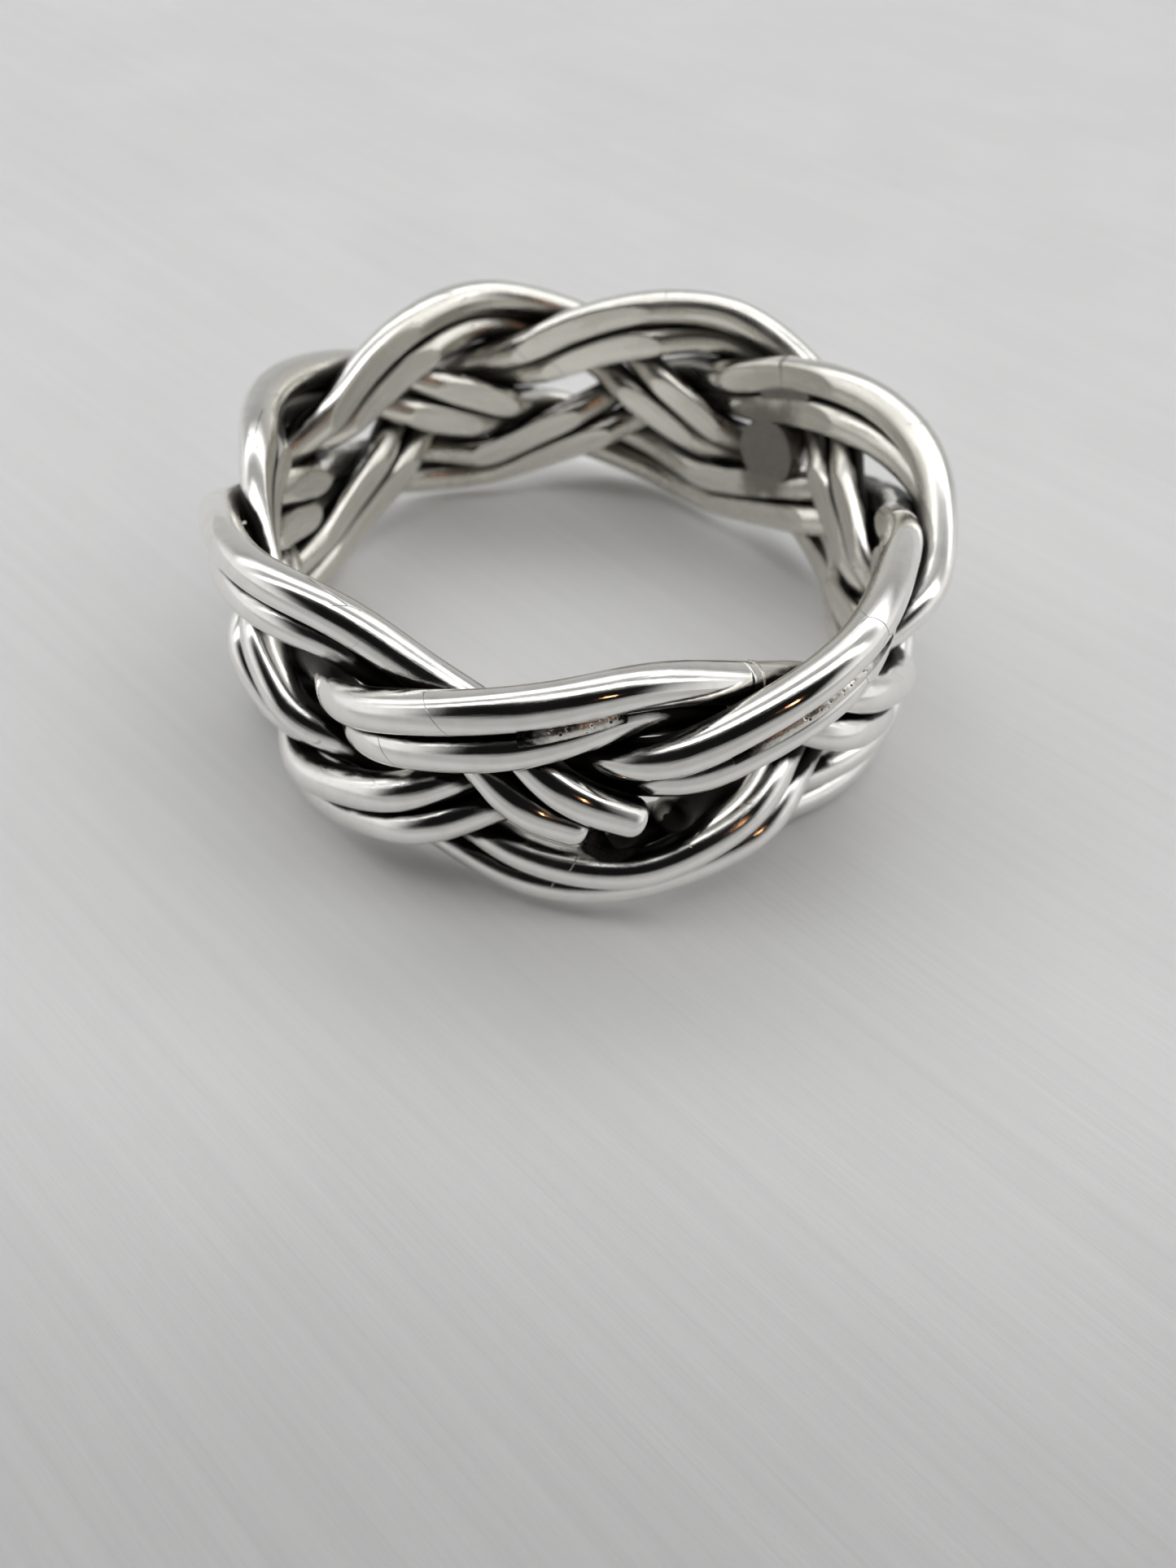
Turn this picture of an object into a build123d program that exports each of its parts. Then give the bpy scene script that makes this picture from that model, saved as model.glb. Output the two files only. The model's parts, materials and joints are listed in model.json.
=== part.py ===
from build123d import *
import os
import numpy as np

# A hand-woven silver finger ring. One cord of two round wires is plaited into a band of four
# rows: it runs four times round the finger and makes seven bights on each edge. The cord is
# four strands of two wires, joined end to end with solder.
# Frame: the Z axis is the axis of the finger, the origin is the middle of the finger hole, and
# the front of the band faces -Y. Angles go from the front towards +X, in degrees.

# Driving dimensions, in mm
BORE_DIAMETER = 18.95      # US ring size 9
WIRE_DIAMETER = 1.15       # 17 gauge round wire
WIRE_CLEARANCE = 0.04      # air between wires that lie on one another
FILED_DEPTH = 0.20         # how far the innermost wire faces are filed back to the bore
DEEPEST_FILING = 0.55      # the most that is filed off any wire
WEAVE_DEPTH = 0.60         # how far the cord swings out and in from its middle cylinder
DENT_DEPTH = 0.25          # the band is pressed in a little on its left side
DENT_ANGLE = 295.0         # where, in degrees round from the front
DENT_WIDTH = 26.0          # and how far to either side, in degrees
CORD_SPREAD = 0.60         # from the middle of the cord to the middle of each of its wires
TAIL_ROUNDING = 0.30       # edge of a cut wire end
JOINT_GAP = 0.10           # solder-filled gap between two butted wire ends
SEAM_RIDGE = 0.03          # how far the solder in a butt joint stands proud of the wire
BEAD_OFFSET = 0.34         # middle of a groove bead, out from or in from the cord's middle
BEAD_RADIUS = 0.22
TAIL_BEAD_RADIUS = 0.36    # solder between the tip of the lower tail and the wire it crosses
FLOODS = {                 # angle, distance from the axis, height and radius of the solder that
    "back_flood_solder": (136.0, 9.85, -0.1, 1.3),       # fills the opening below the back joint
    "front_flood_solder": (10.5, 10.45, -1.9, 1.0),      # and the one below the tails
}

# The weave is made by hand, so no two bights are alike. Each pair is the angle of a crest of
# the cord, and its height over the middle of the band in mm, going round from the front.
TOP_CRESTS = ((6, 3.4), (53, 3.6), (114, 3.1), (161, 2.9), (213, 2.7), (263, 2.5), (318, 3.4))
BOTTOM_CRESTS = ((-6, -3.0), (56, -3.4), (109, -3.1), (160, -3.1), (213, -2.9), (264, -3.3),
                 (304, -3.1))
CREST_FLATNESS = 0.03      # third harmonic that flattens a crest and steepens the run between

# Places along the cord, as parts of its whole length from the front butt joint
FIRST_JOINT_LEG = 0.22     # the front butt joint itself, in legs from the front top crest
STRANDS = {
    "strand_1": (0.0, 0.288),
    "strand_2": (0.288, 0.573),
    "strand_3": (0.573, 0.7352),
    "strand_4": (0.7382, 1.0),
}
TAIL_STAGGER = 0.0042      # how much further along the upper wire is cut than the lower one
JOINTS = {                 # a butt joint, and the reach of its groove bead to either side
    "front_joint_solder": (0.0, 0.0015),
    "hidden_joint_solder": (0.288, 0.0015),
    "back_joint_solder": (0.573, 0.004),
}
GROOVE_BEADS = {           # from, to: beads of solder that tie the two wires of the cord
    "front_groove_solder": (0.979, 0.988),
    "right_groove_solder": (0.249, 0.268),
}

# Worked-out sizes
WIRE_RADIUS = WIRE_DIAMETER / 2
BORE_RADIUS = BORE_DIAMETER / 2
MIDDLE_RADIUS = BORE_RADIUS - FILED_DEPTH + WIRE_RADIUS + WEAVE_DEPTH
INNERMOST_RADIUS = BORE_RADIUS - DEEPEST_FILING + WIRE_RADIUS
WIRE_PITCH = WIRE_DIAMETER + WIRE_CLEARANCE
BIGHTS = len(TOP_CRESTS)
LEGS = 2 * BIGHTS          # a leg of the cord runs from a crest on one edge to one on the other

# How the weave settles
SAMPLES = 960              # points on a whole wire
WATCH_REACH = 2.3          # runs of wire that start nearer than this are kept apart
SETTLING_ROUNDS = 150
PUSHES_PER_ROUND = 3
STIFFNESS = 6.0            # resistance of a wire to a sharp bend
HOLD = 0.02                # pull of a wire back to its drawn path

# Fineness of the solids
KNOT_STEP = 3              # every third point becomes a knot of the wire's curve
FEWEST_KNOTS = 5           # of a short wire
ROD_LENGTH = 8.0           # a long rod is lofted in lengths of about this
RING_STEP = 0.5            # and each length through rings this far apart
FEWEST_RINGS = 4           # of a short rod
BEAD_KNOTS = 7             # along a groove bead
FINGER_LENGTH = 20.0       # of the cylinder that files the bore, longer than the band is high


def crest(leg):
    """Unwound angle and height of the crest where a leg of the cord starts."""
    turn, bight = divmod(2 * leg, BIGHTS)
    angle, height = (TOP_CRESTS if leg % 2 == 0 else BOTTOM_CRESTS)[bight]
    return angle + 360 * turn, height


def weave(t, falling):
    """+1 where the cord is outside and -1 where it is inside, from crest (0) to crest (1)."""
    swing = np.cos(4 * np.pi * t)
    if t < 0.25:
        swing = -np.sin(2 * np.pi * t)
    elif t > 0.75:
        swing = np.sin(2 * np.pi * (t - 1))
    level = np.sin(np.pi / 2 * swing)
    return level if falling else -level


def cord(position):
    """Angle in radians, height and radius of the cord, with the position counted in legs."""
    leg = int(position // 1) % LEGS
    t = position % 1
    angle_a, height_a = crest(leg)
    angle_b, height_b = crest(leg + 1)
    slope = (np.cos(np.pi * t) + CREST_FLATNESS * np.cos(3 * np.pi * t)) / (1 + CREST_FLATNESS)
    angle = np.radians(angle_a + (angle_b - angle_a) * t)
    height = (height_a + height_b) / 2 + (height_a - height_b) / 2 * slope
    past_dent = (np.degrees(angle) - DENT_ANGLE + 180) % 360 - 180
    dent = DENT_DEPTH * np.exp(-(past_dent / DENT_WIDTH) ** 2)
    return angle, height, MIDDLE_RADIUS - dent + WEAVE_DEPTH * weave(t, leg % 2 == 0)


def drawn_wires():
    """The upper and the lower wire, side by side along the cord, before they settle."""
    step = 1e-3
    upper, lower = [], []
    for i in range(SAMPLES):
        position = FIRST_JOINT_LEG + LEGS * i / SAMPLES
        angle, height, radius = cord(position)
        next_angle, next_height, _ = cord(position + step)
        along = (next_angle - angle) % (2 * np.pi) * MIDDLE_RADIUS
        rise = next_height - height
        length = np.hypot(along, rise)
        for wire, side in ((upper, CORD_SPREAD), (lower, -CORD_SPREAD)):
            wire_angle = angle - side * rise / length / MIDDLE_RADIUS
            wire.append((radius * np.sin(wire_angle), -radius * np.cos(wire_angle),
                         height + side * along / length))
    return np.array([upper, lower])


def neighbours(wires):
    """Pairs of points, on different runs of wire, that could come to touch."""
    points = wires.reshape(-1, 3)
    index = np.arange(len(points))
    same_run = SAMPLES // LEGS // 2      # half a leg: closer than this, points are on one run
    pairs = []
    for i in index:
        near = np.linalg.norm(points - points[i], axis=1) < WATCH_REACH
        apart = np.abs(index - i) % SAMPLES
        own = (index // SAMPLES == i // SAMPLES) & (np.minimum(apart, SAMPLES - apart) < same_run)
        pairs.extend((i, j) for j in index[near & ~own] if j > i)
    return np.array(pairs).T


def stiffen(moves):
    """Takes the sharp bends out of the moves of the two closed wires."""
    waves = 2 - 2 * np.cos(2 * np.pi * np.fft.rfftfreq(SAMPLES))
    spectrum = np.fft.rfft(moves, axis=1) / (1 + STIFFNESS * waves ** 2)[None, :, None]
    return np.fft.irfft(spectrum, n=SAMPLES, axis=1)


def settle(drawn):
    """Lets the drawn wires push one another apart until none overlaps, as pulled wires do."""
    first, second = neighbours(drawn)
    wires = drawn
    for _ in range(SETTLING_ROUNDS):
        wires = drawn + stiffen(wires - drawn) * (1 - HOLD)
        for _ in range(PUSHES_PER_ROUND):
            points = wires.reshape(-1, 3).copy()
            reach = np.hypot(points[:, 0], points[:, 1])
            points[:, :2] *= np.maximum(INNERMOST_RADIUS / reach, 1)[:, None]
            between = points[first] - points[second]
            distance = np.linalg.norm(between, axis=1)
            overlap = WIRE_PITCH - distance
            touching = np.flatnonzero(overlap > 0)
            touching = touching[np.argsort(overlap[touching])]
            push = between[touching] * (overlap[touching] / distance[touching] / 2)[:, None]
            away = np.zeros_like(points)
            towards = np.zeros_like(points)
            away[first[touching]] = push
            towards[second[touching]] = push
            wires = (points + away - towards).reshape(wires.shape)
    return wires


def run(side, start, end):
    """The middle line of one wire between two parts of the cord's length."""
    count = max(FEWEST_KNOTS, round((end - start) * SAMPLES / KNOT_STEP))
    return Edge.make_spline([paths[side] @ (part % 1) for part in np.linspace(start, end, count)])


def rod(path, radius):
    """A round rod along a path, lofted through rings square to it."""
    def ring(part):
        middle, along = path @ part, path % part
        across = Vector(middle.X, middle.Y, 0).cross(along)
        return Plane(origin=middle, x_dir=along.cross(across), z_dir=along) * Circle(radius)

    lengths = max(1, round(path.length / ROD_LENGTH))
    rings = max(FEWEST_RINGS, round(path.length / lengths / RING_STEP))
    pieces = []
    for i in range(lengths):
        pieces.append(loft([ring(p) for p in np.linspace(i / lengths, (i + 1) / lengths, rings)]))
    return pieces[0].fuse(*pieces[1:]) if lengths > 1 else pieces[0]


def round_end(wire, tip):
    """Rounds the edge of the cut end at a wire's tip."""
    return wire.fillet(TAIL_ROUNDING, wire.faces().sort_by_distance(tip)[0].edges())


def groove_bead(start, end, offset):
    """A rod of solder along the groove between the two wires, outside (+) or inside (-)."""
    middles = []
    for part in np.linspace(start, end, BEAD_KNOTS):
        middle = (paths["upper"] @ (part % 1) + paths["lower"] @ (part % 1)) / 2
        middles.append(middle + Vector(middle.X, middle.Y, 0).normalized() * offset)
    return rod(Edge.make_spline(middles), BEAD_RADIUS)


def joint_solder(part, reach):
    """Solder at a butt joint: a disc in each wire's gap, and a bead in the groove on each side."""
    solder = groove_bead(part - reach, part + reach, BEAD_OFFSET)
    solder += groove_bead(part - reach, part + reach, -BEAD_OFFSET)
    for side, path in paths.items():
        half = JOINT_GAP / 2 / path.length
        solder += rod(run(side, part - half, part + half), WIRE_RADIUS + SEAM_RIDGE)
    return solder


def fitted(solder):
    """The solder without the space of the finger, and of the wires and solder that it touches."""
    touched = [wires[name] for name, line in lines.items() if line.distance_to(solder) < WIRE_RADIUS]
    touched += [other for other in solders.values() if other.distance_to(solder) == 0]
    return solder.cut(finger, *touched)


settled = settle(drawn_wires())
paths = {}
for side, points in zip(("upper", "lower"), settled):
    paths[side] = Edge.make_spline([Vector(*point) for point in points[::KNOT_STEP]], periodic=True)

finger = Cylinder(BORE_RADIUS, FINGER_LENGTH)

lines = {}
wires = {}
for strand, (start, end) in STRANDS.items():
    for side, path in paths.items():
        half_gap = JOINT_GAP / 2 / path.length
        stagger = TAIL_STAGGER if side == "upper" else 0
        first = start + (stagger if strand == "strand_4" else half_gap)
        last = end + (stagger if strand == "strand_3" else -half_gap)
        line = run(side, first, last)
        wire = rod(line, WIRE_RADIUS)
        if strand == "strand_3":
            wire = round_end(wire, path @ last)
        if strand == "strand_4":
            wire = round_end(wire, path @ first)
        lines[f"{strand}_{side}_wire"] = line
        wires[f"{strand}_{side}_wire"] = wire - finger

solders = {}
for name, (part, reach) in JOINTS.items():
    solders[name] = fitted(joint_solder(part, reach))
for name, (start, end) in GROOVE_BEADS.items():
    solders[name] = fitted(groove_bead(start, end, BEAD_OFFSET))
tip = paths["lower"] @ STRANDS["strand_3"][1]
inward = Vector(tip.X, tip.Y, 0).normalized() * -WEAVE_DEPTH
solders["tail_solder"] = fitted(Pos(tip + inward) * Sphere(TAIL_BEAD_RADIUS))
for name, (angle, reach, height, radius) in FLOODS.items():
    turned = np.radians(angle)
    middle = Vector(reach * np.sin(turned), -reach * np.cos(turned), height)
    flood = fitted(Pos(middle) * Sphere(radius))
    solders[name] = flood.solids().sort_by(SortBy.VOLUME)[-1]

os.makedirs("parts", exist_ok=True)
for name, shape in {**wires, **solders}.items():
    export_step(shape, f"parts/{name}.step")
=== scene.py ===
import json
import math
import random

import bpy
import numpy as np
from mathutils import Matrix, Vector


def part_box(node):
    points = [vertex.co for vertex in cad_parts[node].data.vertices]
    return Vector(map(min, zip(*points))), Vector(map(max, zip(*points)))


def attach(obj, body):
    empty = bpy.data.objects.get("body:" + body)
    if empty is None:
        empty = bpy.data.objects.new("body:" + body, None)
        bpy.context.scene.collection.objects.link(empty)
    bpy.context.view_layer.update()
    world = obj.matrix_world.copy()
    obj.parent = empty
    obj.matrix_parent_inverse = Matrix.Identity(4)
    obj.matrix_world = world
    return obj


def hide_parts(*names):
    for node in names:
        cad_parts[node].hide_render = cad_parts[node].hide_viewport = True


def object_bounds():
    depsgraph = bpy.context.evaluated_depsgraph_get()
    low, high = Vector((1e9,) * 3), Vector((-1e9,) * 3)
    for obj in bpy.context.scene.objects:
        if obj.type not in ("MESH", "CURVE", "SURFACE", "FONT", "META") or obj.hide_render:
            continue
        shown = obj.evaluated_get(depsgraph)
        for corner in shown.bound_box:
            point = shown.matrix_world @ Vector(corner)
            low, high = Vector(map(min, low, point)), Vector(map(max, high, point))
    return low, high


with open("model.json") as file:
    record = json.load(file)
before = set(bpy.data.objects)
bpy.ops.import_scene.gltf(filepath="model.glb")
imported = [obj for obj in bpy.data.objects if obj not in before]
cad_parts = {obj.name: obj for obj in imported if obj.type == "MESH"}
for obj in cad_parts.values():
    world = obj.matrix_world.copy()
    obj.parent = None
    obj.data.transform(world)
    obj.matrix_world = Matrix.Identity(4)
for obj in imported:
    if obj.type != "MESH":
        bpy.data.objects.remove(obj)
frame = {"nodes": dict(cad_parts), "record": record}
cad_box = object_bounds()
MM = 0.001
rng = random.Random(7)

# ---------------------------------------------------------------- sizes, read from the frame
bore = next(m for m in frame["record"]["mounts"] if m["name"] == "finger_bore")
BORE_RADIUS = bore["dims"]["r_mm"] * MM
WIRE_RADIUS = 0.575 * MM          # 17 gauge wire
FLOOR_Z = cad_box[0].z
FLOOR_HALF = 1.2                  # the floor reaches this far to every side
STROKE_ANGLE = math.radians(38)   # of the brush strokes on the floor

# ---------------------------------------------------------------- how dark the solder is
GROOVES = ("front_groove_solder", "right_groove_solder")     # black at both ends: painted shade and patina where they run into the black recesses
BLACKENED = ("front_flood_solder",)                          # black all over: painted shade and patina in the dark opening under the tails

# ---------------------------------------------------------------- fineness of the wires
MARCH_STEP = 0.25 * MM            # walking along the CAD wire to find its middle line
MARCH_REACH = 0.62 * MM
RING_STEP = 0.11 * MM             # rings of the fine wire
ROUND_PARTS = 38                  # quads round the wire outside its filed flat
FLAT_PLACES = (-1.0, -0.78, -0.4, 0.0, 0.4, 0.78, 1.0)      # across the filed flat
UNFILED_ANGLE = math.radians(24)  # half angle of the same six quads where nothing is filed
MIN_FLAT_ANGLE = math.radians(2)
FLAT_CROWDING = 0.012             # draws the quads beside a flat towards it
LEAF_TAPER = 0.6 * MM             # over which the quads spread again past the tip of a flat
TAIL_ROUNDING = 0.42 * MM
BUTT_ROUNDING = 0.04 * MM
WOBBLE = 0.0038                   # share of the radius in each wave of the hand-made unevenness
OCCLUDER_STEP = 5                 # every fifth ring shades its neighbours
OCCLUDER_REACH = 2.4 * MM
OCCLUDER_SHARE = 0.50             # how much each of the spheres along a neighbour counts
SUNK_SHADE = 0.30                 # painted shade and patina, added where a polishing cloth can't reach
POLISHED_RADIUS = 10.95 * MM      # a polishing cloth reaches faces further out than this
EDGE_HEIGHT = 3.2 * MM            # and faces on the edges of the band
POLISH_FADE = 0.5 * MM
TUCKED_STRAND = "strand_4"        # starts tucked away behind the tails, painted black as shade and as the patina where polish never gets
TUCKED_LENGTH = 2.5 * MM


def unit(v):
    return v / np.linalg.norm(v, axis=-1, keepdims=True)


def mesh_arrays(mesh):
    """Vertex places, face centres and face normals of a mesh."""
    verts = np.empty(len(mesh.vertices) * 3)
    mesh.vertices.foreach_get("co", verts)
    centres = np.empty(len(mesh.polygons) * 3)
    mesh.polygons.foreach_get("center", centres)
    normals = np.empty(len(mesh.polygons) * 3)
    mesh.polygons.foreach_get("normal", normals)
    return verts.reshape(-1, 3), centres.reshape(-1, 3), normals.reshape(-1, 3)


def march(core, start, direction):
    """Points along the middle of a wire, from a start point until the wire ends."""
    path = [start]
    for _ in range(2000):
        ahead = path[-1] + direction * MARCH_STEP
        near = core[np.linalg.norm(core - ahead, axis=1) < MARCH_REACH]
        along = (near - ahead) @ direction / MARCH_REACH
        if len(near) < 12 or along.max() < 0.1:
            break
        powers = np.stack([np.ones_like(along), along, along ** 2], 1)
        path.append(np.linalg.lstsq(powers, near, rcond=None)[0][0])
        direction = unit(path[-1] - path[-2])
    return path


def middle_line(node):
    """The middle line of a CAD wire, end to end, worked out from its faces."""
    verts, centres, normals = mesh_arrays(frame["nodes"][node].data)
    radial = unit(centres * (1, 1, 0))
    reach = np.hypot(centres[:, 0], centres[:, 1])
    filed = (reach < BORE_RADIUS + 0.01 * MM) & ((normals * radial).sum(1) < -0.97)
    core = (centres - normals * WIRE_RADIUS)[~filed]
    start = core[len(core) // 2]
    near = core[np.linalg.norm(core - start, axis=1) < 0.5 * MM]
    start = np.median(near, axis=0)
    direction = np.linalg.svd(near - start)[2][0]
    forward = march(core, start, direction)
    backward = march(core, start, -direction)
    path = np.array(backward[:0:-1] + forward)
    for end, inner in ((0, 1), (-1, -2)):
        tip = path[end]
        outwards = unit(tip - path[inner])
        close = verts[np.linalg.norm(verts - tip, axis=1) < 1.6 * WIRE_RADIUS]
        path[end] = tip + outwards * ((close - tip) @ outwards).max()
    if np.arctan2(path[1, 0], -path[1, 1]) % 6.3 > np.arctan2(path[0, 0], -path[0, 1]) % 6.3:
        return smooth_line(path)
    return smooth_line(path[::-1].copy())


def smooth_line(path):
    """The path with its jitter taken out and cut into even fine steps."""
    for _ in range(3):
        path[1:-1] = (path[:-2] + 2 * path[1:-1] + path[2:]) / 4
    length = np.concatenate([[0], np.cumsum(np.linalg.norm(np.diff(path, axis=0), axis=1))])
    places = np.linspace(0, length[-1], int(round(length[-1] / RING_STEP)) + 1)
    i = np.clip(np.searchsorted(length, places, side="right") - 1, 0, len(path) - 2)
    t = ((places - length[i]) / (length[i + 1] - length[i]))[:, None]
    before, after = path[np.maximum(i - 1, 0)], path[np.minimum(i + 2, len(path) - 1)]
    a, b = path[i], path[i + 1]
    return 0.5 * (2 * a + (b - before) * t + (2 * before - 5 * a + 4 * b - after) * t ** 2
                  + (3 * a - before - 3 * b + after) * t ** 3)


def flat_angles(line, places, out):
    """Half angle of the filed flat on each ring of a wire, spread again past a flat's tips."""
    depth = np.hypot(line[:, 0], line[:, 1]) - BORE_RADIUS
    lean = np.abs((out * unit(line * (1, 1, 0))).sum(1))
    share = np.clip(depth / lean / WIRE_RADIUS, -1, 1)
    filed = share < math.cos(MIN_FLAT_ANGLE)
    gap = np.full(len(line), 1.0)
    if filed.any():
        gap = np.abs(places[:, None] - places[filed][None, :]).min(1)
    t = np.clip(gap / LEAF_TAPER, 0, 1)
    spread = MIN_FLAT_ANGLE + (UNFILED_ANGLE - MIN_FLAT_ANGLE) * t * t * (3 - 2 * t)
    return np.where(filed, np.arccos(share), spread)


def ring_places(length, roundings):
    """Places of the rings along a wire, closer together on its rounded ends."""
    turn = 1 - np.cos(np.linspace(0, math.pi / 2, 7))
    start, end = turn * roundings[0], length - turn[::-1] * roundings[1]
    middle = np.arange(start[-1] + RING_STEP, end[0] - RING_STEP / 2, RING_STEP)
    return np.concatenate([start, middle, end])


def end_shrink(places, length, roundings):
    """How much of its full radius each ring has: less on a rounded end."""
    share = np.ones_like(places)
    for distance, rounding in ((places, roundings[0]), (length - places, roundings[1])):
        left = np.clip((rounding - distance) / rounding, 0, 1)
        share -= rounding / WIRE_RADIUS * (1 - np.sqrt(1 - left ** 2))
    return share


def hand_wobble(places, phi):
    """The slight unevenness of hand-drawn wire, as a share of its radius."""
    wobble = np.zeros_like(phi)
    for _ in range(7):
        wave, lobes = rng.uniform(0.4, 2.0), rng.choice((1, 2, 2, 3, 4))
        wobble += rng.uniform(0.2, 1) * np.sin(wave * places[:, None] / MM + lobes * phi
                                               + rng.uniform(0, 2 * math.pi))
    return WOBBLE * wobble


class Wire:
    """One fine wire: its rings of points, its own straightened places and its shading."""

    def __init__(self, node, roundings):
        line = middle_line(node)
        length = (len(line) - 1) * RING_STEP
        even = np.arange(len(line)) * RING_STEP
        self.name = node
        self.places = ring_places(length, roundings)
        self.line = np.stack([np.interp(self.places, even, line[:, k]) for k in range(3)], 1)
        tangent = unit(np.gradient(line, axis=0))
        tangent = unit(np.stack([np.interp(self.places, even, tangent[:, k]) for k in range(3)], 1))
        across = unit(np.cross(unit(self.line * (1, 1, 0)), tangent))
        out = np.cross(tangent, across)
        angle = flat_angles(self.line, self.places, out)[:, None]
        flat = np.arcsin(np.array(FLAT_PLACES)[None, :] * np.sin(angle))
        rest = np.linspace(0, 1, ROUND_PARTS + 1)[1:-1]
        rest = rest - FLAT_CROWDING * np.sin(2 * math.pi * rest)
        self.phi = np.concatenate([flat, angle + 2 * (math.pi - angle) * rest[None, :]], axis=1)
        shrink = end_shrink(self.places, length, roundings)[:, None]
        radius = WIRE_RADIUS * shrink * (1 + hand_wobble(self.places, self.phi))
        inward, side = -np.cos(self.phi)[..., None], np.sin(self.phi)[..., None]
        self.normals = inward * out[:, None, :] + side * across[:, None, :]
        self.rings = self.line[:, None, :] + radius[..., None] * self.normals
        reach = np.hypot(self.rings[..., 0], self.rings[..., 1])
        pull = np.where(reach < BORE_RADIUS, BORE_RADIUS / reach, 1)
        self.rings[..., :2] *= pull[..., None]

    def shade(self, wires):
        """How much of the sky over each point the neighbouring wires take up, 0 to about 1."""
        spheres, owners, spots = [], [], []
        for wire in wires:
            chosen = wire.line[::OCCLUDER_STEP]
            spheres.append(chosen)
            owners.append(np.full(len(chosen), wire is self))
            spots.append(wire.places[::OCCLUDER_STEP])
        spheres, owners, spots = map(np.concatenate, (spheres, owners, spots))
        cover = np.zeros(self.phi.shape)
        for i, (middle, place) in enumerate(zip(self.line, self.places)):
            near = np.linalg.norm(spheres - middle, axis=1) < OCCLUDER_REACH
            near &= ~(owners & (np.abs(spots - place) < OCCLUDER_REACH))
            towards = spheres[near][None, :, :] - self.rings[i][:, None, :]
            distance = np.linalg.norm(towards, axis=2)
            facing = (towards * self.normals[i][:, None, :]).sum(2) / distance
            part = np.clip(facing, 0, 1) * np.minimum(WIRE_RADIUS / distance, 1) ** 2
            cover[i] = part.sum(1) * OCCLUDER_SHARE
        # painted shade and patina added on faces a polishing cloth can't reach
        reach = np.hypot(self.rings[..., 0], self.rings[..., 1])
        sunk = np.clip((POLISHED_RADIUS - reach) / POLISH_FADE, 0, 1)
        edge = np.clip((EDGE_HEIGHT - np.abs(self.rings[..., 2])) / POLISH_FADE, 0, 1)
        outer = np.clip(0.5 + (self.normals * unit(self.rings * (1, 1, 0))).sum(2) * 2, 0, 1)
        cover += SUNK_SHADE * sunk * edge * outer
        # painted shade and patina over the first stretch of the tucked strand
        if self.name.startswith(TUCKED_STRAND):
            cover += np.clip(1.2 - self.places / TUCKED_LENGTH, 0, 1)[:, None]
        return cover

    def build(self, wires):
        """The closed mesh object of the wire."""
        rows, around = self.phi.shape
        verts = self.rings.reshape(-1, 3)
        faces = []
        for i in range(rows - 1):
            a, b = i * around, (i + 1) * around
            faces += [(a + j, a + (j + 1) % around, b + (j + 1) % around, b + j)
                      for j in range(around)]
        inner = []
        for row, flip in ((0, True), (rows - 1, False)):
            middle = self.rings[row].mean(0)
            previous = row * around
            for share in (0.6, 0.2):
                base = len(verts) + len(inner)
                inner += list(middle + (self.rings[row] - middle) * share)
                for j in range(around):
                    k = (j + 1) % around
                    quad = (previous + j, previous + k, base + k, base + j)
                    faces.append(quad[::-1] if flip else quad)
                previous = base
            inner.append(middle)
            tip = len(verts) + len(inner) - 1
            for j in range(around):
                corner = (previous + j, previous + (j + 1) % around, tip)
                faces.append(corner[::-1] if flip else corner)
        verts = np.concatenate([verts, np.array(inner)])
        mesh = bpy.data.meshes.new(self.name)
        mesh.from_pydata(verts.tolist(), [], faces)
        mesh.polygons.foreach_set("use_smooth", [True] * len(mesh.polygons))
        straight = np.stack([np.cos(self.phi) * 0.575, np.sin(self.phi) * 0.575,
                             np.repeat(self.places[:, None] / MM, around, 1)], -1).reshape(-1, 3)
        straight = np.concatenate([straight, np.zeros((len(inner), 3))])
        straight[len(self.phi.ravel()):, 2] = np.repeat((0, self.places[-1] / MM), len(inner) // 2)
        shade = self.shade(wires)
        shade = np.concatenate([shade.ravel(), np.full(len(inner) // 2, shade[0].mean()),
                                np.full(len(inner) // 2, shade[-1].mean())])
        write_attribute(mesh, "straight", "FLOAT_VECTOR", straight)
        write_attribute(mesh, "shade", "FLOAT", shade)
        radial = unit(self.rings * (1, 1, 0))
        inside = np.clip(-(self.normals * radial).sum(2), 0, 1).ravel()
        write_attribute(mesh, "inside", "FLOAT", np.concatenate([inside, np.zeros(len(inner))]))
        piece = bpy.data.objects.new("fine_" + self.name, mesh)
        bpy.context.scene.collection.objects.link(piece)
        return piece


def write_attribute(mesh, name, kind, values):
    """Stores one value per vertex on a mesh."""
    attribute = mesh.attributes.new(name, kind, "POINT")
    key = "vector" if kind == "FLOAT_VECTOR" else "value"
    attribute.data.foreach_set(key, np.asarray(values, np.float32).ravel())


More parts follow.
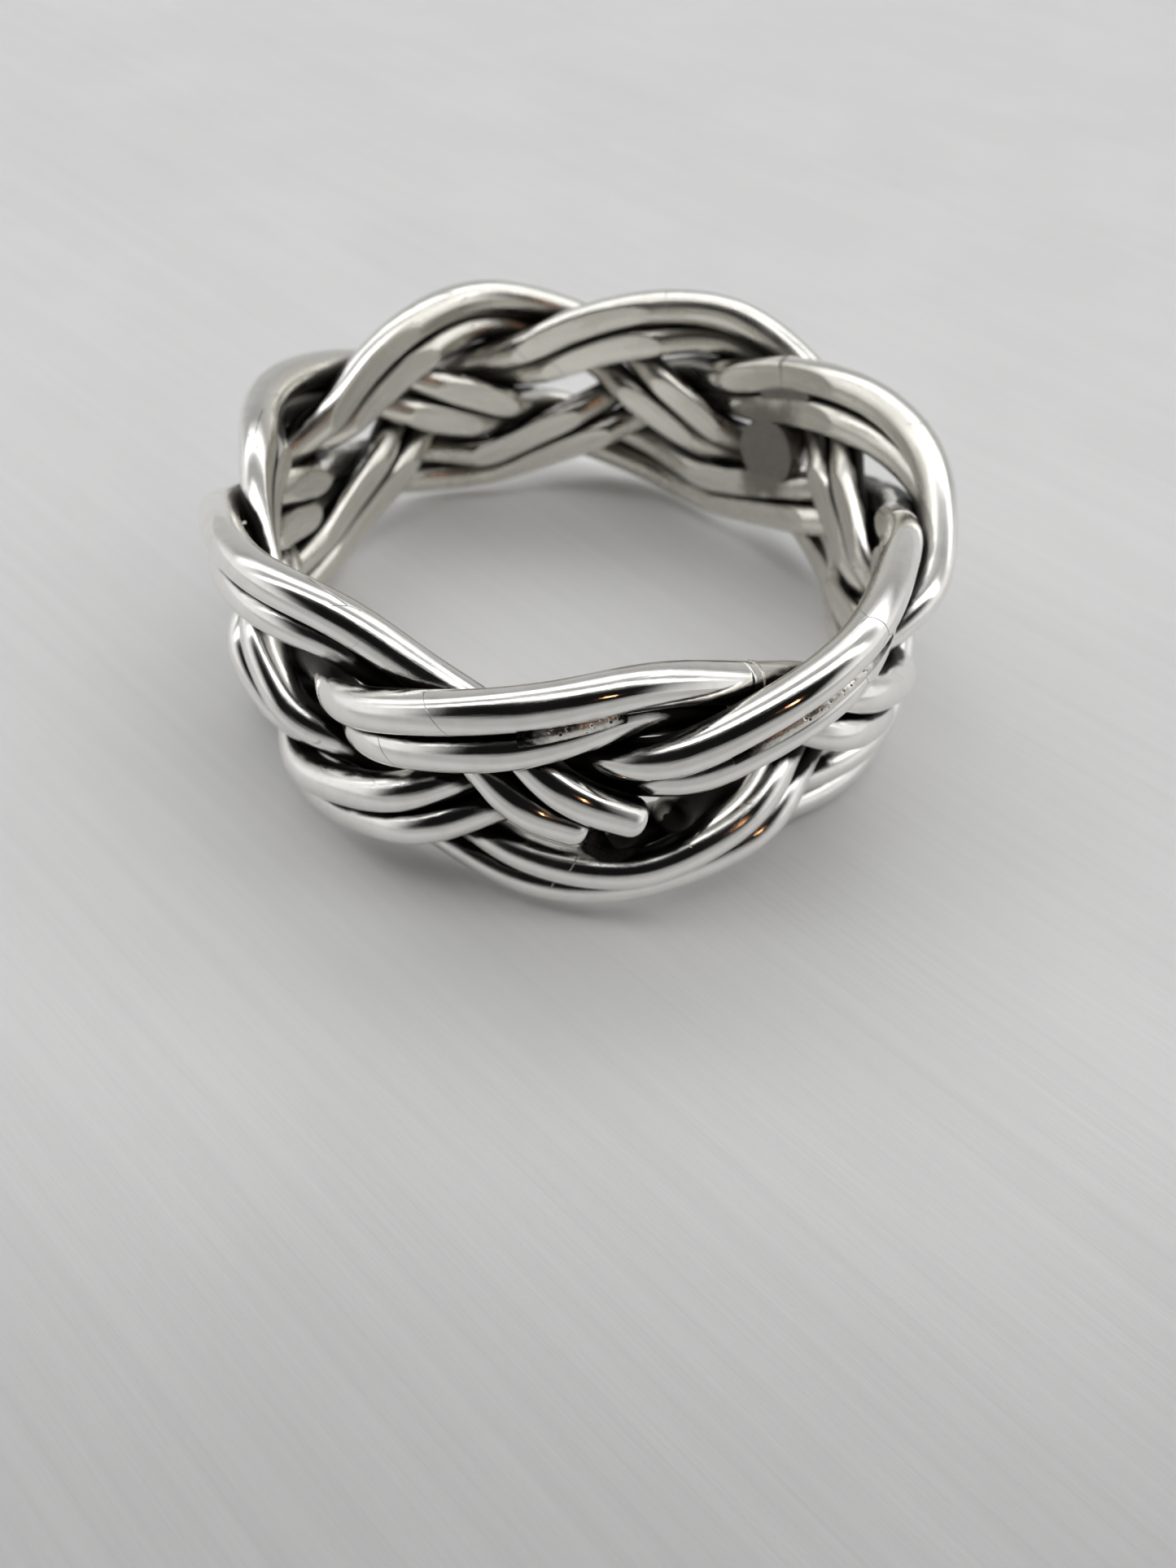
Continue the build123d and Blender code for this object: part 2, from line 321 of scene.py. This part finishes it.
# ---------------------------------------------------------------- materials
class Nodes:
    """Short calls for building a node tree."""

    def __init__(self, tree):
        self.tree = tree
        tree.nodes.clear()

    def add(self, kind, inputs=None, **settings):
        node = self.tree.nodes.new(kind)
        for key, value in settings.items():
            setattr(node, key, value)
        for key, value in (inputs or {}).items():
            if isinstance(value, bpy.types.NodeSocket):
                self.tree.links.new(value, node.inputs[key])
            else:
                node.inputs[key].default_value = value
        return node

    def math(self, operation, a, b=0.0, clamp=False):
        return self.add("ShaderNodeMath", {0: a, 1: b}, operation=operation,
                        use_clamp=clamp).outputs[0]

    def noise(self, vector, scale, detail=3.0, rough=0.5):
        node = self.add("ShaderNodeTexNoise", {"Vector": vector, "Scale": scale,
                                               "Detail": detail, "Roughness": rough})
        return node.outputs["Fac"]

    def stretch(self, vector, scale):
        return self.add("ShaderNodeVectorMath", {0: vector, 1: scale},
                        operation="MULTIPLY").outputs[0]

    def ramp(self, value, low, high, from_value=0.0, to_value=1.0, smooth=True):
        node = self.add("ShaderNodeMapRange",
                        {"Value": value, "From Min": low, "From Max": high,
                         "To Min": from_value, "To Max": to_value},
                        interpolation_type="SMOOTHSTEP" if smooth else "LINEAR")
        return node.outputs["Result"]

    def mix(self, share, a, b):
        node = self.add("ShaderNodeMix", data_type="RGBA")
        for socket, value in ((0, share), (6, a), (7, b)):
            if isinstance(value, bpy.types.NodeSocket):
                self.tree.links.new(value, node.inputs[socket])
            else:
                node.inputs[socket].default_value = value
        return node.outputs[2]


def new_material(name):
    """A material and its empty node tree."""
    material = bpy.data.materials.new(name)
    material.use_nodes = True
    return material, Nodes(material.node_tree)


def silver_material():
    """Polished silver with lengthwise drawing lines, hairline scratches and black recesses of
    painted shade and patina.
    """
    material, n = new_material("polished_silver")
    straight = n.add("ShaderNodeAttribute", attribute_name="straight").outputs["Vector"]
    shade = n.add("ShaderNodeAttribute", attribute_name="shade").outputs["Fac"]
    inside = n.add("ShaderNodeAttribute", attribute_name="inside").outputs["Fac"]
    place = n.add("ShaderNodeNewGeometry").outputs["Position"]
    place = n.stretch(place, (1000, 1000, 1000))
    blotch = n.noise(place, 2.2, 4)
    broad = n.noise(place, 0.8, 4)
    # painted shade and liver of sulphur patina in the recesses, with a ragged edge where the
    # polishing stopped
    # the painted shade comes from how much sky the neighbouring wires hide
    streaky = n.noise(n.stretch(straight, (1, 1, 0.25)), 3.0, 4)
    ragged = n.math("ADD", shade, n.ramp(streaky, 0.3, 0.7, -0.12, 0.12, smooth=False))
    black = n.ramp(ragged, 0.26, 0.48)
    black = n.math("MULTIPLY", black, n.ramp(inside, 0.1, 0.7, 1.0, 0.5))
    # lengthwise lines left by the draw plate and the polishing
    lines = n.noise(n.stretch(straight, (1, 1, 0.03)), 9, 6, 0.7)
    fine = n.noise(n.stretch(straight, (1, 1, 0.05)), 45, 3, 0.6)
    patch = n.noise(n.stretch(straight, (1, 1, 0.3)), 0.9, 2)
    drawn = n.math("MULTIPLY", lines, n.ramp(patch, 0.35, 0.65, 0.25, 1.0))
    cracks = n.add("ShaderNodeTexVoronoi", {"Vector": straight, "Scale": 0.42},
                   feature="DISTANCE_TO_EDGE")
    hair = n.ramp(cracks.outputs["Distance"], 0.0, 0.006, 1.0, 0.0)
    hair = n.math("MULTIPLY", hair, n.ramp(n.noise(straight, 0.55, 1), 0.60, 0.64))
    # lengthwise waves, deeper as file marks on the filed faces inside, and pits there
    filed = n.noise(n.stretch(straight, (1, 1, 0.10)), 2.6, 4)
    pits = n.add("ShaderNodeTexVoronoi", {"Vector": place, "Scale": 2.3}).outputs["Distance"]
    pits = n.ramp(pits, 0.03, 0.09, 1.0, 0.0)
    pits = n.math("MULTIPLY", pits, n.ramp(inside, 0.80, 0.95))
    pits = n.math("MULTIPLY", pits, n.ramp(broad, 0.50, 0.60))
    height = n.math("ADD", n.math("MULTIPLY", drawn, 1.0), n.math("MULTIPLY", fine, 0.10))
    height = n.math("SUBTRACT", height, n.math("MULTIPLY", hair, 0.8))
    height = n.math("SUBTRACT", height, n.math("MULTIPLY", pits, 2.0))
    wavy = n.math("MULTIPLY", filed, n.ramp(inside, 0.1, 0.6, 0.5, 3.0))
    height = n.math("ADD", height, wavy)
    bump = n.add("ShaderNodeBump", {"Strength": 0.8, "Distance": 0.00001, "Height": height})
    satin = n.ramp(inside, 0.15, 0.7)
    rough = n.ramp(broad, 0.3, 0.75, 0.06, 0.15)
    rough = n.math("ADD", rough, n.math("MULTIPLY", satin, n.ramp(filed, 0.3, 0.7, 0.12, 0.26)))
    rough = n.math("ADD", rough, n.math("MULTIPLY", black, 0.30), clamp=True)
    bright = n.mix(n.ramp(blotch, 0.35, 0.75), (0.90, 0.89, 0.86, 1), (0.84, 0.83, 0.79, 1))
    dull = n.mix(n.ramp(filed, 0.35, 0.65), (0.92, 0.89, 0.81, 1), (0.76, 0.73, 0.65, 1))
    bright = n.mix(n.math("MULTIPLY", satin, 0.8), bright, dull)
    # painted shade and patina of the recesses, with the dark hairline scratches and pits
    shade_patina_and_marks = n.math("MAXIMUM", black, n.math("MULTIPLY", hair, 0.7))
    shade_patina_and_marks = n.math("MAXIMUM", shade_patina_and_marks, n.math("MULTIPLY", pits, 0.8))
    shade_and_patina_black = n.mix(satin, (0.012, 0.011, 0.010, 1), (0.07, 0.06, 0.05, 1))
    colour = n.mix(shade_patina_and_marks, bright, shade_and_patina_black)
    # solder has run over the wires inside, round the opening that it fills below the back seam
    away = n.add("ShaderNodeVectorMath", {0: place, 1: MUD_PLACE / MM}, operation="DISTANCE")
    away = n.math("ADD", away.outputs["Value"], n.ramp(broad, 0.3, 0.7, -0.6, 0.6, smooth=False))
    mud = n.math("MULTIPLY", n.ramp(away, 1.4, 2.4, 1.0, 0.0), n.ramp(inside, 0.0, 0.3))
    colour = n.mix(n.math("MULTIPLY", mud, 0.85), colour, (0.24, 0.215, 0.19, 1))
    rough = n.math("MAXIMUM", rough, n.math("MULTIPLY", mud, 0.50))
    shader = n.add("ShaderNodeBsdfPrincipled",
                   {"Base Color": colour, "Metallic": 1.0, "Roughness": rough,
                    "Normal": bump.outputs[0]})
    n.add("ShaderNodeOutputMaterial", {"Surface": shader.outputs[0]})
    return material


def solder_material(node):
    """Silver solder, pitted and lumpy: black at the ends of a groove, or all over, as painted shade
    and patina; dull and muddy at the back.
    """
    material, n = new_material(node + "_metal")
    place = n.stretch(n.add("ShaderNodeNewGeometry").outputs["Position"], (1000, 1000, 1000))
    low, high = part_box(node)
    middle, reach = (low + high) / 2 / MM, (high - low).length / 2 / MM
    away = n.add("ShaderNodeVectorMath", {0: place, 1: middle}, operation="DISTANCE")
    lumps = n.noise(place, 3.0, 3)
    pits = n.add("ShaderNodeTexVoronoi", {"Vector": place, "Scale": 5.0}).outputs["Distance"]
    pits = n.ramp(pits, 0.05, 0.30)
    height = n.math("ADD", lumps, n.math("MULTIPLY", pits, 0.5))
    bump = n.add("ShaderNodeBump", {"Strength": 0.8, "Distance": 0.00005, "Height": height})
    dirt = n.ramp(n.math("ADD", pits, n.ramp(lumps, 0.35, 0.6, -0.4, 0.4)), 0.2, 0.7)
    colour = n.mix(dirt, (0.10, 0.09, 0.08, 1), (0.78, 0.76, 0.71, 1))
    rough = n.ramp(lumps, 0.3, 0.7, 0.2, 0.42)
    back = n.ramp(n.add("ShaderNodeSeparateXYZ", {0: place}).outputs[1], 2.0, 4.0)
    colour = n.mix(n.math("MULTIPLY", back, 0.8), colour, (0.18, 0.16, 0.145, 1))
    rough = n.math("ADD", rough, n.math("MULTIPLY", back, 0.15))
    # painted shade and patina: black towards the ends of a groove, and all over a blackened piece
    ragged = n.math("ADD", away.outputs["Value"], n.ramp(lumps, 0.3, 0.7, -0.2, 0.2))
    black = n.ramp(ragged, 0.45 * reach, 0.85 * reach)
    if node in BLACKENED:
        black = 1.0
    if node in GROOVES or node in BLACKENED:
        colour = n.mix(black, colour, (0.012, 0.011, 0.010, 1))
    shader = n.add("ShaderNodeBsdfPrincipled",
                   {"Base Color": colour, "Metallic": 1.0, "Roughness": rough,
                    "Normal": bump.outputs[0]})
    n.add("ShaderNodeOutputMaterial", {"Surface": shader.outputs[0]})
    return material


def floor_material():
    """White painted board with faint slanting brush strokes, painted a little darker towards the
    front as shade.
    """
    material, n = new_material("white_floor")
    place = n.stretch(n.add("ShaderNodeNewGeometry").outputs["Position"], (1000, 1000, 1000))
    turned = n.add("ShaderNodeVectorRotate", {"Vector": place, "Angle": STROKE_ANGLE},
                   rotation_type="Z_AXIS").outputs[0]
    strokes = n.noise(n.stretch(turned, (0.045, 2.2, 1)), 1.0, 5, 0.65)
    cloud = n.noise(place, 0.10, 4)
    grain = n.noise(place, 3.0, 4, 0.7)
    depth = n.add("ShaderNodeSeparateXYZ", {0: place}).outputs[1]
    # painted shade: the board is darker towards the front
    level = n.ramp(depth, -29, -13, 0.60, 0.86)
    level = n.math("ADD", level, n.ramp(strokes, 0.3, 0.7, -0.022, 0.022, smooth=False))
    level = n.math("ADD", level, n.ramp(cloud, 0.3, 0.7, -0.015, 0.015))
    colour = n.add("ShaderNodeCombineColor", {0: level, 1: level, 2: level}).outputs[0]
    height = n.math("ADD", strokes, n.math("MULTIPLY", grain, 0.3))
    bump = n.add("ShaderNodeBump", {"Strength": 0.30, "Distance": 0.0001, "Height": height})
    shader = n.add("ShaderNodeBsdfPrincipled",
                   {"Base Color": colour, "Roughness": 0.75, "Normal": bump.outputs[0],
                    "Specular IOR Level": 0.2})
    n.add("ShaderNodeOutputMaterial", {"Surface": shader.outputs[0]})
    return material


# ---------------------------------------------------------------- the object
flood_low, flood_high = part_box("back_flood_solder")
MUD_PLACE = (flood_low + flood_high) / 2
silver = silver_material()

TAILS = {"strand_3": "end", "strand_4": "start"}
wires = []
for node in sorted(frame["nodes"]):
    if node.endswith("_wire"):
        tail = TAILS.get(node[:8])
        wires.append(Wire(node, (TAIL_ROUNDING if tail == "start" else BUTT_ROUNDING,
                                 TAIL_ROUNDING if tail == "end" else BUTT_ROUNDING)))
for wire in wires:
    piece = wire.build(wires)
    piece.data.materials.append(silver)
    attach(piece, "root")
    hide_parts(wire.name)
for node, piece in frame["nodes"].items():
    if node.endswith("_solder"):
        piece.data.materials.clear()
        piece.data.materials.append(solder_material(node))

# ---------------------------------------------------------------- floor, light and camera
floor_mesh = bpy.data.meshes.new("floor")
CORNERS = ((-1, -1), (1, -1), (1, 1), (-1, 1))
floor_mesh.from_pydata([(x * FLOOR_HALF, y * FLOOR_HALF, FLOOR_Z) for x, y in CORNERS], [],
                       [(0, 1, 2, 3)])
floor = bpy.data.objects.new("floor", floor_mesh)
bpy.context.scene.collection.objects.link(floor)
floor_mesh.materials.append(floor_material())


# The room: brightness of the sky from the back horizon (0 degrees) over the top (90) to the
# camera's own horizon (180), where the photographer stands dark against it.
SKY = ((0, 0.48), (25, 0.42), (40, 0.32), (46, 0.8), (51, 1.7), (61, 1.6), (67, 0.55), (73, 0.36),
       (84, 0.36), (87, 2.1), (99, 2.2), (102, 0.30), (109, 0.02), (120, 0.006), (158, 0.006),
       (168, 0.25), (180, 0.42))
SIDE_LEVEL = (0.80, 0.80, 0.80, 1)

world = bpy.data.worlds.new("room")
world.use_nodes = True
bpy.context.scene.world = world
w = Nodes(world.node_tree)
direction = w.add("ShaderNodeTexCoord").outputs["Generated"]
axes = w.add("ShaderNodeSeparateXYZ", {0: direction})
sideways, ahead, up = axes.outputs
tilt = w.math("ARCTAN2", up, ahead)          # 0 at the back horizon, pi at the camera's horizon
tilt = w.math("DIVIDE", tilt, math.pi)
wave = w.noise(w.stretch(direction, (1.5, 1.5, 1.5)), 1.0, 2)
tilt = w.math("ADD", tilt, w.ramp(wave, 0.2, 0.8, -0.02, 0.02))
sky = w.add("ShaderNodeValToRGB", {"Fac": tilt})
elements = sky.color_ramp.elements
while len(elements) < len(SKY):
    elements.new(0.5)
for element, (degrees, level) in zip(elements, SKY):
    element.position = degrees / 180
    element.color = (level, level, level, 1)
side_light = w.ramp(w.math("ABSOLUTE", sideways), 0.72, 0.98)
colour = w.mix(side_light, sky.outputs["Color"], SIDE_LEVEL)
background = w.add("ShaderNodeBackground", {"Color": colour, "Strength": 1.12})
w.add("ShaderNodeOutputWorld", {"Surface": background.outputs[0]})

# a small warm lamp far off at the front right leaves orange glints
lamp_data = bpy.data.lights.new("warm_lamp", "POINT")
lamp_data.energy = 0.05
lamp_data.color = (1.0, 0.50, 0.25)
lamp_data.shadow_soft_size = 0.006
lamp = bpy.data.objects.new("warm_lamp", lamp_data)
lamp.location = Vector((0.55, -0.65, 0.55)) * 0.35
bpy.context.scene.collection.objects.link(lamp)

# the camera looks down at the front of the ring, as close as a phone
CAMERA_ELEVATION = math.radians(51.5)
CAMERA_DISTANCE = 32.68 * MM
CAMERA_ROLL = math.radians(5.156)
LOOK_AT = Vector((1.044, -6.94, -3.643)) * MM
camera = bpy.data.objects.new("camera", bpy.data.cameras.new("camera"))
bpy.context.scene.collection.objects.link(camera)
back = Vector((0, -math.cos(CAMERA_ELEVATION), math.sin(CAMERA_ELEVATION)))
level_right = Vector((1, 0, 0))
level_up = back.cross(level_right)
right = level_right * math.cos(CAMERA_ROLL) + level_up * math.sin(CAMERA_ROLL)
up_axis = level_up * math.cos(CAMERA_ROLL) - level_right * math.sin(CAMERA_ROLL)
camera.matrix_world = Matrix.Translation(LOOK_AT + back * CAMERA_DISTANCE) @ \
    Matrix((right, up_axis, back)).transposed().to_4x4()
camera.data.sensor_width = 36
camera.data.lens = 1261.1 / 1927 * 36
camera.data.clip_start = 0.001
focus = bpy.data.objects.new("focus", None)
focus.location = (0, -BORE_RADIUS - 2 * WIRE_RADIUS, 0.003)
bpy.context.scene.collection.objects.link(focus)
camera.data.dof.use_dof = True
camera.data.dof.focus_object = focus
camera.data.dof.aperture_fstop = 60
bpy.context.scene.camera = camera
bpy.context.scene.view_settings.view_transform = "Standard"
